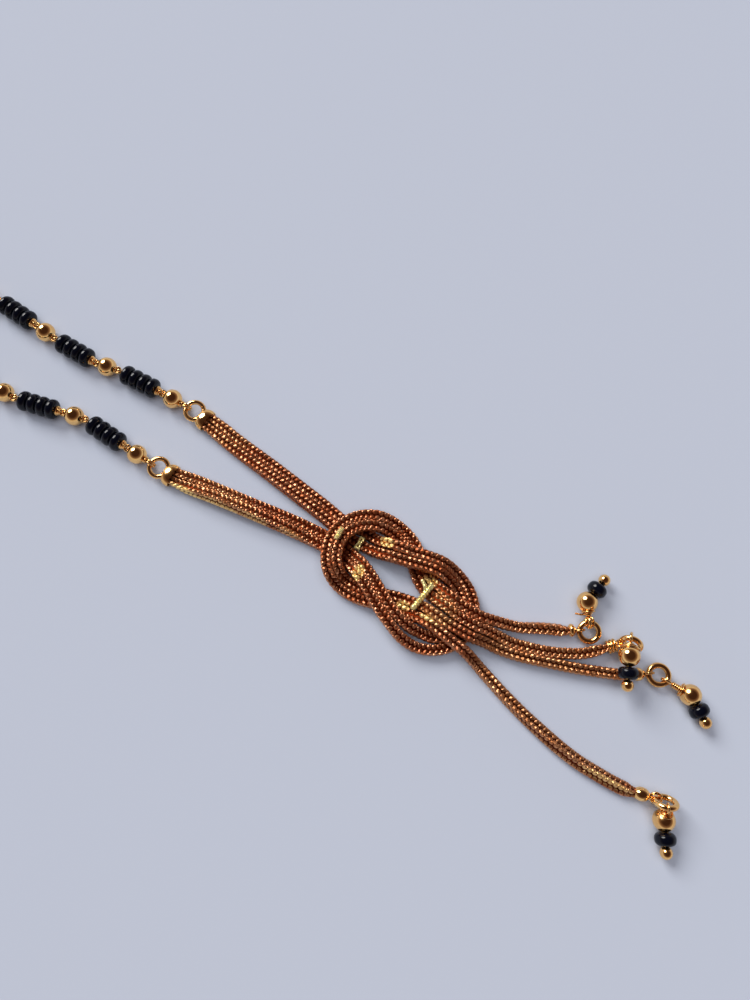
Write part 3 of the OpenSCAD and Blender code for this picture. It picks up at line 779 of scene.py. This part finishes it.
# The wire wound up before the first bead of a pin: radius, wire, distance from the bead
PIN_COIL = ((0.56, 0.28, 0.15), (0.48, 0.28, 0.4), (0.36, 0.26, 0.62))


def link_len(i):
    if i == 0:
        return LONG_LEAD + EYE_LEAD
    return PIN_LEN if i % 2 else BALL_LINK_LEN


bend_angle = math.acos(1 - (LOOP_R - STRING_Y) / (LOOP_R + BEND_R))
bend_len = BEND_R * bend_angle
loop_len = LOOP_R * (bend_angle + math.pi / 2) - HOOK_REACH
straight_len = sum(link_len(i) for i in range(LINK_COUNT)) - bend_len - loop_len


def heading(s):
    """Direction of the string at the length s from its cap, as an angle."""
    if s < straight_len:
        return 0
    if s < straight_len + bend_len:
        return (s - straight_len) / BEND_R
    return bend_angle - (s - straight_len - bend_len) / LOOP_R


# How far the first links of each string turn outwards from its line; the links after them bring
# the string back to it
SWAY_UPPER = (2, 0, -9, 3, 9, 6)
SWAY_LOWER = (-5, -6, 10, 11, -2, 0)
BACK_LINKS = 10


def string_joints(sway):
    """Where the links of a string meet, and the direction of each link."""
    count = len(sway)
    off = sum(link_len(i) * math.sin(math.radians(turn)) for i, turn in enumerate(sway))
    back = -math.asin(off / sum(link_len(count + i) for i in range(BACK_LINKS)))
    turns = [math.radians(turn) for turn in sway] + [back] * BACK_LINKS
    turns += [0] * (LINK_COUNT - len(turns))
    joints, headings = [Vector((CAP_X - STRAP_EYE_R, STRING_Y, AXIS_Z))], []
    s = 0
    for i, turn in enumerate(turns):
        angle = heading(s + link_len(i) / 2) + turn
        along = Vector((-math.cos(angle), math.sin(angle), 0))
        headings.append(along)
        joints.append(joints[-1] + link_len(i) * along)
        s += link_len(i)
    return joints, headings


upper_string = string_joints(SWAY_UPPER)
lower_string = string_joints(SWAY_LOWER)


def bead_model(d, t, rim):
    """A black bead with its hole along X, and rims rounded by the given radius."""
    sides, rim_steps, near_rim = 24, 5, 0.05
    bpy.ops.mesh.primitive_cylinder_add(vertices=sides, radius=d / 2 * MM, depth=t * MM,
                                        rotation=ALONG_X)
    bead = settle(new_piece("bead"))
    select_faces(bead, lambda face: abs(face.normal.x) > 0.9)
    bpy.ops.mesh.inset(thickness=(d / 2 - BEAD_HOLE_R) * MM, depth=0)
    bpy.ops.mesh.bridge_edge_loops()
    round_edges(bead, lambda a, b: abs(a.x - b.x) < 1e-6 and min(
        math.hypot(a.y, a.z), math.hypot(b.y, b.z)) > (d / 2 - near_rim) * MM, rim, rim_steps)
    return bead


def ball_link_model():
    """A gold ball with a short collar and a flat eye at each end."""
    parts = [ball(BALL_D, (EYE_LEAD, 0, 0)),
             ring(EYE_R, WIRE_D),
             ring(EYE_R, WIRE_D, at=(BALL_LINK_LEN, 0, 0))]
    for side in (-1, 1):
        collar_x = EYE_LEAD + side * (BALL_D / 2 - COLLAR_SUNK)
        parts.append(ring(COLLAR_R, COLLAR_WIRE_D, ALONG_X, at=(collar_x, 0, 0)))
    return joined("ball_link", parts)


def first_ball_link_model():
    """The ball next to a strap cap: a large upright eye on a wrapped neck, a ball and a flat eye."""
    eye_wire, eye_aside = 0.28, 0.15
    neck_d, neck_inside = 0.5, 0.2
    wrap_wire, wrap_r, wrap_shift = 0.22, 0.4, 0.06
    collar_wire, collar_sunk = 0.2, 0.04
    ball_start = LONG_LEAD - BALL_D / 2
    parts = [ring(BIG_EYE_R, eye_wire, ALONG_Y, TURN_SIDES, (0, -eye_aside, 0)),
             ring(BIG_EYE_R, eye_wire, ALONG_Y, TURN_SIDES, (0, eye_aside, 0)),
             rod(neck_d, BIG_EYE_R, ball_start + neck_inside),
             wraps(wrap_wire, wrap_r, BIG_EYE_R + wrap_shift, ball_start + wrap_shift),
             ball(BALL_D, (LONG_LEAD, 0, 0)),
             ring(COLLAR_R, collar_wire, ALONG_X, at=(LONG_LEAD + BALL_D / 2 - collar_sunk, 0, 0)),
             ring(EYE_R, WIRE_D, at=(LONG_LEAD + EYE_LEAD, 0, 0))]
    return joined("first_ball_link", parts)


def pin_model(end_eye_r):
    """A wire pin with an upright eye at each end, wound up beside the first bead and the last."""
    start = 2 * EYE_R
    last_turn_r, last_turn_wire, last_turn_back = 0.34, 0.22, 0.14
    plain = end_eye_r == EYE_R
    end = PIN_LEN - (start if plain else end_eye_r)
    end_eye_x = PIN_LEN - EYE_R if plain else PIN_LEN
    parts = [ring(EYE_R, WIRE_D, ALONG_Y, at=(EYE_R, 0, 0)),
             rod(WIRE_D, start, end, 10),
             ring(end_eye_r, WIRE_D, ALONG_Y, at=(end_eye_x, 0, 0))]
    for r, wire, from_bead in PIN_COIL:
        parts.append(ring(r, wire, ALONG_X, at=(PIN_LEAD - from_bead, 0, 0)))
    parts.append(ring(last_turn_r, last_turn_wire, ALONG_X, (18, 6), (end - last_turn_back, 0, 0)))
    return joined("bead_pin", parts)


def at_link(string, i):
    joints, headings = string
    return aim(in_part(joints[i]), headings[i])


def bead_string(half, string, mirrored):
    """Every second link is a ball and every other one a pin with beads, from the cap to the hook."""
    flip = Matrix.Diagonal((1, -1, 1, 1)) if mirrored else Matrix.Identity(4)
    first, link, pin = first_ball_link_model(), ball_link_model(), pin_model(EYE_R)
    last_pin, bead = pin_model(BIG_EYE_R), bead_model(BEAD_D, BEAD_T + BEAD_EXTRA, BEAD_RIM)
    links, pins, beads = [], [], []
    for i in range(LINK_COUNT):
        place = flip @ at_link(string, i)
        if i % 2 == 0:
            links.append(copy_at(link if i else first, place))
        else:
            pins.append(copy_at(last_pin if i == LINK_COUNT - 1 else pin, place))
            for k in range(BEADS_PER_PIN):
                shift = (PIN_LEAD + BEAD_T / 2 + k * (BEAD_T + CLEAR)) * MM
                beads.append(copy_at(bead, place @ Matrix.Translation((shift, 0, 0))))
    for model in (first, link, pin, last_pin, bead):
        remove(model)
    for name, copies, material, slot in (("ball_links_", links, GOLD, "gold_metal"),
                                         ("bead_pins_", pins, GOLD, "gold_metal"),
                                         ("black_beads_", beads, GLASS, "black_glass")):
        piece = joined(name + half, copies)
        if mirrored:
            face_outwards(piece)
        smooth_shade(piece)
        complete(piece, name + half, material)


bead_string("upper", upper_string, False)
bead_string("lower", lower_string, True)


# The hook behind the neck

def s_hook():
    """Two bights of wire with ball ends, on a short bar with a band at each end."""
    sweep, steps = 300, 48
    bar_d, bar_half = HOOK_WIRE_D + 0.1, 0.4
    band_r, band_wire = HOOK_WIRE_D / 2 + 0.02, 0.14
    upper_end, lower_end = upper_string[0][-1], lower_string[0][-1] * Vector((1, -1, 1))
    middle = (upper_end + lower_end) / 2
    line = upper_end - lower_end
    r = line.length / 4
    parts = []
    for hand in (1, -1):
        points = []
        for k in range(steps + 1):
            angle = math.radians(-90 - sweep + sweep * k / steps)
            points.append((hand * r * math.cos(angle), hand * (r + r * math.sin(angle)), 0))
        parts.append(wire_along("bight", points, HOOK_WIRE_D, 3))
        parts.append(ball(bar_d, points[0]))
    parts.append(rod(bar_d, -bar_half, bar_half, 20))
    for x in (-bar_half, bar_half):
        parts.append(ring(band_r, band_wire, ALONG_X, BAND_SIDES, (x, 0, 0)))
    hook = settle(joined("s_hook", parts), frame_at(in_part(middle), (line.y, -line.x, 0), line))
    complete_gold(hook, "s_hook")


s_hook()


# Strap caps: a thick round eye that flows into a domed sleeve

def domed_sleeve(front, mouth, swell, across, up, wall, depth, height=0.0):
    """A dome along X from its front to its open mouth, widest at swell."""
    way = 1 if mouth > front else -1
    sleeve = ball(2, sides=(40, 24))
    sleeve.scale = (abs(swell - front), across, up)
    sleeve.location = Vector((swell, 0, height)) * MM
    settle(sleeve)
    edit_all(sleeve)
    bpy.ops.mesh.bisect(plane_co=(mouth * MM, 0, 0), plane_no=(way, 0, 0), use_fill=True,
                        clear_outer=True, threshold=1e-7)
    stop_editing()
    select_faces(sleeve,
                 lambda face: face.normal.x * way > 0.99 and abs(face.center.x / MM - mouth) < 0.01)
    bpy.ops.mesh.inset(thickness=wall * MM, depth=0)
    bpy.ops.mesh.extrude_region_move(TRANSFORM_OT_translate={"value": (-way * depth * MM, 0, 0)})
    stop_editing()
    return sleeve


def strap_cap(node, y, strap_end):
    hole_room, cutter_h = 0.06, 4
    sleeve = domed_sleeve(front=0.5, mouth=2.4, swell=2.05, across=1.62, up=1.04, wall=0.14,
                          depth=0.7, height=strap_end[2] - AXIS_Z)
    bpy.ops.mesh.primitive_cylinder_add(
        vertices=48, radius=(STRAP_EYE_R - STRAP_EYE_WIRE_D / 2 + hole_room) * MM,
        depth=cutter_h * MM)
    cutter = new_piece("cutter")
    hole = sleeve.modifiers.new("eye_hole", "BOOLEAN")
    hole.object = cutter
    hole.operation = "DIFFERENCE"
    hole.solver = "EXACT"
    apply_modifiers(sleeve)
    remove(cutter)
    cap = joined("strap_cap", [sleeve, ring(STRAP_EYE_R, STRAP_EYE_WIRE_D, sides=(48, 14))])
    settle(cap, aim(in_part((CAP_X, y, AXIS_Z)), (strap_end[0] - CAP_X, strap_end[1] - y, 0)))
    smooth_shade(cap, 45)
    complete(cap, node, GOLD)


strap_cap("strap_cap_upper", STRING_Y, NECKLACE_ROUTE[0])
strap_cap("strap_cap_lower", -STRING_Y, NECKLACE_ROUTE[-1])


# Ties of thin wire

# Points of the tassel's and the necklace's routes that the two left ties lie between
OUTER_TIE_POINTS = (41, 44)
INNER_TIE_POINTS = (21, 22)


def complete_tie(node, parts):
    tie = joined(node, parts)
    smooth_shade(tie)
    complete(tie, node, BRIGHT_WIRE)


def twisted_wires(start, end, wire, coil_r, turns, strands):
    """Wires twisted round one another from start to end, fullest in the middle."""
    points_per_turn, fullness_at_ends = 10, 0.75
    along = (end - start).normalized()
    side = along.cross(Vector((0, 0, 1))).normalized()
    up = side.cross(along)
    parts = []
    for strand in range(strands):
        points = []
        for k in range(turns * points_per_turn + 1):
            t = k / (turns * points_per_turn)
            angle = 2 * math.pi * (turns * t + strand / strands)
            swell = fullness_at_ends + (1 - fullness_at_ends) * math.sin(math.pi * t)
            aside = coil_r * swell * (math.cos(angle) * side + math.sin(angle) * up)
            points.append(in_part(start.lerp(end, t) + aside))
        parts.append(wire_along("twisted_wire", points, wire, 1))
    return parts


def tie_right():
    """A wound bar between the tassel's two pairs of strands, with a branch and a leg into each pair."""
    bar_d, end_ball_d, branch_d, leg_d = 0.5, 0.8, 0.5, 0.16
    wrap_wire, wrap_r = 0.46, 0.2
    low_end, high_end = Vector((3.1, -5.48, 2.6)), Vector((3.9, -1.97, 2.36))
    feet = (1.2, 0.9)
    branch_from = low_end.lerp(high_end, 0.7)
    line = high_end - low_end
    bar = settle(joined("bar", [rod(bar_d, 0, line.length), wraps(wrap_wire, wrap_r, 0, line.length),
                                ball(end_ball_d), ball(end_ball_d, (line.length, 0, 0))]),
                 frame_at(in_part(low_end), line, (1, 0, 0)))
    branch = wire_along("branch", [in_part(branch_from), in_part((3.1, -2.2, 2.5)),
                                   in_part((2.5, -1.75, 2.3))], branch_d)
    legs = [wire_along("leg", [in_part((x, y, z)), in_part((x, y, foot))], leg_d, 1)
            for (x, y, z), foot in zip((low_end, high_end), feet)]
    complete_tie("tie_right", [bar, branch] + legs)


def tie_left_outer():
    """Three twisted wires in the groove between the tassel's strands."""
    above_groove = Vector((0, 0, STRAND_H / 2 + 0.14))
    first, last = [Vector(tassel_mid[i][:3]) + above_groove for i in OUTER_TIE_POINTS]
    start = first.lerp(last, -0.25)
    end = last.lerp(start, 0.3)
    complete_tie("tie_left_outer", twisted_wires(start, end, wire=0.3, coil_r=0.24, turns=2, strands=3))


def tie_left_inner():
    """Two turns of wire over the inner necklace strand, with a cross wire at each side."""
    wire, apart, crown_apart = 0.28, 0.26, 0.6
    over, crown = STRAND_H / 2 + 0.28, 0.03
    reach, cross_in = STRAND_W / 2 + 0.2, 0.1
    foot, shoulder_drop, shoulder_in = -0.5, 0.15, 0.12
    inner = beside(necklace_mid, -1)
    before, after = [Vector(inner[i][:3]) for i in INNER_TIE_POINTS]
    middle = (before + after) / 2
    parts = []
    for x in (-apart, apart):
        points = ((x, -reach, foot), (x, -reach, over - shoulder_drop),
                  (x, -reach + shoulder_in, over), (x * crown_apart, 0, over + crown),
                  (x, reach - shoulder_in, over), (x, reach, over - shoulder_drop),
                  (x, reach, foot))
        parts.append(wire_along("turn", [in_part(middle + Vector(p)) for p in points], wire, 1))
    for across in (-reach + cross_in, reach - cross_in):
        points = [in_part(middle + Vector((x, across, over))) for x in (-apart, 0, apart)]
        parts.append(wire_along("cross_wire", points, wire, 1))
    complete_tie("tie_left_inner", parts)


tie_right()
tie_left_outer()
tie_left_inner()


# Tail caps, jump rings and drops

# How much thicker the jump rings' wire is here than in the solids
RING_EXTRA = 0.11


def ring_middle(end):
    """The middle of the jump ring that goes through a cap's eye and its drop's eye."""
    start, stop = Vector(end.cap_eye), Vector(end.drop_eye)
    chord = (stop - start).normalized()
    half = (stop - start).length / 2
    side = Vector(end.ring_side)
    out = (side - side.dot(chord) * chord).normalized()
    return (start + stop) / 2 + math.sqrt(max(RING_R ** 2 - half ** 2, 0)) * out


def ring_normal(end):
    middle = ring_middle(end)
    off_line = Vector((0, 0.001, 0.001))
    return (Vector(end.cap_eye) - middle).cross(Vector(end.drop_eye) - middle + off_line).normalized()


def wire_direction(end, point):
    """The direction of the jump ring's wire at a point on it."""
    return ring_normal(end).cross(Vector(point) - ring_middle(end)).normalized()


def tail_cap(i):
    """A barrel that the tail ends in, with a small eye; the second one is wound with wire."""
    eye_wire, collar_r, neck_ball_d = 0.34, 0.32, 0.68
    wall, mouth_depth, swell_share = 0.12, 0.3, 0.42
    coil_wire, coil_sunk, coil_shift, thinner = 0.38, 0.12, 0.05, 0.14
    end = TAIL_ENDS[i]
    eye = Vector(end.cap_eye)
    neck = CAP_EYE_R[i]
    coiled = i == WOUND_TAIL
    mouth, front = -neck - end.body_len, -neck
    swell = mouth + swell_share * (front - mouth)
    r = TAIL_CAP_D / 2 - (thinner if coiled else 0)
    collar_x = front - COLLAR_SUNK
    parts = [domed_sleeve(front, mouth, swell, r, r, wall, mouth_depth),
             ring(neck, eye_wire, ALONG_Y, EYE_SIDES)]
    if coiled:
        parts.append(wraps(coil_wire, TAIL_CAP_D / 2 - coil_sunk, mouth - coil_shift,
                           front - coil_shift, EYE_SIDES))
    if i == LAST_TAIL:
        parts.append(ball(neck_ball_d, (collar_x, 0, 0)))
    else:
        parts.append(ring(collar_r, COLLAR_WIRE_D, ALONG_X, at=(collar_x, 0, 0)))
    strand_end = Vector(TAIL_ROUTES[i][-1][:3])
    cap = settle(joined("tail_cap", parts),
                 frame_at(in_part(eye), eye - strand_end, wire_direction(end, eye)))
    smooth_shade(cap, 40)
    complete(cap, f"tail_cap_{i + 1}", GOLD)


def jump_ring(i):
    end = TAIL_ENDS[i]
    matrix = frame_at(in_part(ring_middle(end)), ring_normal(end), (0.1, 1, 0.2))
    piece = settle(ring(RING_R, RING_WIRE_D + RING_EXTRA, ALONG_X, (56, 14)), matrix)
    complete_gold(piece, f"jump_ring_{i + 1}")


def drop_neck(i, lead):
    """The drop's eye and its wire, wound down to the ball and over its top."""
    eye_r = DROP_EYE_R[i]
    eye_wire = 0.28 if i == LAST_TAIL else PIN_D + 0.06
    wrap_wire, wrap_r = 0.27, 0.3
    wrap_from, wrap_to = eye_r + 0.1, lead - DROP_BALL_D / 2 - 0.12
    shortest_wrap, turn_wire, turn_reach = 0.1, 0.22, DROP_BALL_D / 2 + 0.13
    spare_wire, spare_tilts = 0.24, (50, -45)
    parts = [ring(eye_r, eye_wire, ALONG_Y, EYE_SIDES), rod(PIN_D, eye_r, lead, 14)]
    if wrap_to - wrap_from > shortest_wrap:
        parts.append(wraps(wrap_wire, wrap_r, wrap_from, wrap_to))
    for angle in DROP_COIL_ANGLES[i]:
        turn = math.radians(angle)
        parts.append(ring(turn_reach * math.sin(turn), turn_wire, ALONG_X, TURN_SIDES,
                          (lead - turn_reach * math.cos(turn), 0, 0)))
    if i == LOOSE_TAIL:
        for tilt in spare_tilts:
            parts.append(settle(ring(eye_r, spare_wire, ALONG_Y, TURN_SIDES),
                                Matrix.Rotation(math.radians(tilt), 4, "X")))
        loose_end = [(wrap_to, -0.2, 0), (wrap_to - 0.1, -0.9, 0.1), (wrap_to + 0.1, -1.7, 0.1)]
        parts.append(wire_along("loose_end", loose_end, spare_wire))
    return joined("neck", parts)


def drop(i):
    """A pin with its eye and end ball, a gold ball and a black bead."""
    rim_wire, rim_sunk, bead_from_ball = 0.16, 0.07, 0.08
    end = TAIL_ENDS[i]
    eye, middle, tip = Vector(end.drop_eye), Vector(end.ball), Vector(end.tip)
    shaft_line = tip - middle
    shaft_place = aim(in_part(middle), shaft_line)
    neck = settle(drop_neck(i, (middle - eye).length),
                  frame_at(in_part(eye), middle - eye, wire_direction(end, eye)))
    shaft = settle(joined("shaft", [rod(PIN_D, 0, shaft_line.length, 14),
                                    ball(TIP_D, (shaft_line.length, 0, 0))]), shaft_place)
    complete_gold(joined("drop_pin", [neck, shaft]), f"drop_pin_{i + 1}")
    rim = ring(COLLAR_R, rim_wire, ALONG_X, BAND_SIDES, (DROP_BALL_D / 2 - rim_sunk, 0, 0))
    gold_ball = settle(joined("drop_ball", [ball(DROP_BALL_D, sides=(36, 20)), rim]), shaft_place)
    complete_gold(gold_ball, f"drop_ball_{i + 1}")
    along = shaft_line.normalized()
    spot = middle + (DROP_BALL_D / 2 + DROP_BEAD_T / 2 + bead_from_ball) * along
    bead = settle(bead_model(DROP_BEAD_D, DROP_BEAD_T + DROP_BEAD_EXTRA, DROP_BEAD_RIM),
                  aim(in_part(spot), along))
    smooth_shade(bead)
    complete(bead, f"drop_bead_{i + 1}", GLASS)


for tail in range(len(TAIL_ENDS)):
    tail_cap(tail)
    jump_ring(tail)
    drop(tail)


# Floor, light and camera

# The view of the photograph, in millimetres, with the lens for a picture of this height
CAMERA_PLACE = (80.4, -18.13, 99.8)
CAMERA_TARGET = (67.85, 5.48, 0)
CAMERA_UP = (-0.469, 0.883, 0)
CAMERA_LENS = 27.04
PICTURE_H = 36
NEAREST = 1
FLOOR_SIZE = 40000
FLOOR_Z = -0.02

# What the polished metal mirrors: height, from 0 for level to 1 for straight up, and colour
SURROUNDINGS = ((0.12, (0.72, 0.72, 0.75)), (0.42, (0.22, 0.15, 0.13)), (0.75, (0.05, 0.026, 0.021)))


def floor():
    bpy.ops.mesh.primitive_plane_add(size=FLOOR_SIZE * MM, location=(0, 0, FLOOR_Z * MM))
    piece = settle(new_piece("floor"))
    material, _, finish = shader_material("pale_floor")
    finish["Base Color"].default_value = (*PALE_FLOOR, 1)
    finish["Roughness"].default_value = 0.85
    finish["Specular IOR Level"].default_value = 0.15
    piece.data.materials.append(material)


def soft_light(name, toward, strength, width, colour, mirrored=True):
    """A wide, even light from a direction; width is how broad it looks, in degrees."""
    data = bpy.data.lights.new(name, "SUN")
    data.energy = strength
    data.angle = math.radians(width)
    data.color = colour
    lamp = bpy.data.objects.new(name, data)
    bpy.context.collection.objects.link(lamp)
    lamp.location = Vector(toward)
    lamp.rotation_euler = Vector(toward).to_track_quat("Z", "Y").to_euler()
    lamp.visible_glossy = mirrored


def surroundings():
    """A pale horizon and a dark top, which the polished metal mirrors."""
    world = bpy.data.worlds.new("surroundings")
    bpy.context.scene.world = world
    world.use_nodes = True
    tree = world.node_tree
    place = tree.nodes.new("ShaderNodeTexCoord")
    split = tree.nodes.new("ShaderNodeSeparateXYZ")
    feed(tree, place.outputs["Generated"], split.inputs["Vector"])
    ramp = tree.nodes.new("ShaderNodeValToRGB")
    steps = ramp.color_ramp.elements
    steps.new(0.5)
    for step, (height, colour) in zip(steps, SURROUNDINGS):
        step.position = height
        step.color = (*colour, 1)
    background = tree.nodes["Background"].inputs
    feed(tree, split.outputs["Z"], ramp.inputs["Fac"])
    feed(tree, ramp.outputs["Color"], background["Color"])
    background["Strength"].default_value = 0.9


def camera():
    place, target = Vector(CAMERA_PLACE) * MM, Vector(CAMERA_TARGET) * MM
    forward = (target - place).normalized()
    right = forward.cross(Vector(CAMERA_UP)).normalized()
    up = right.cross(forward)
    data = bpy.data.cameras.new("camera")
    data.sensor_fit = "VERTICAL"
    data.sensor_height = PICTURE_H
    data.lens = CAMERA_LENS
    data.clip_start = NEAREST * MM
    view = bpy.data.objects.new("camera", data)
    bpy.context.collection.objects.link(view)
    matrix = Matrix((right, up, -forward)).transposed().to_4x4()
    matrix.translation = place
    view.matrix_world = matrix
    bpy.context.scene.camera = view


floor()
soft_light("window_light", toward=(-0.75, 0.31, 0.6), strength=3.1, width=32, colour=(1.0, 0.98, 0.95))
soft_light("overhead_fill", toward=(0, 0, 1), strength=1.5, width=60, colour=(0.92, 0.95, 1.0),
           mirrored=False)
surroundings()
bpy.context.scene.view_settings.view_transform = "Standard"
camera()
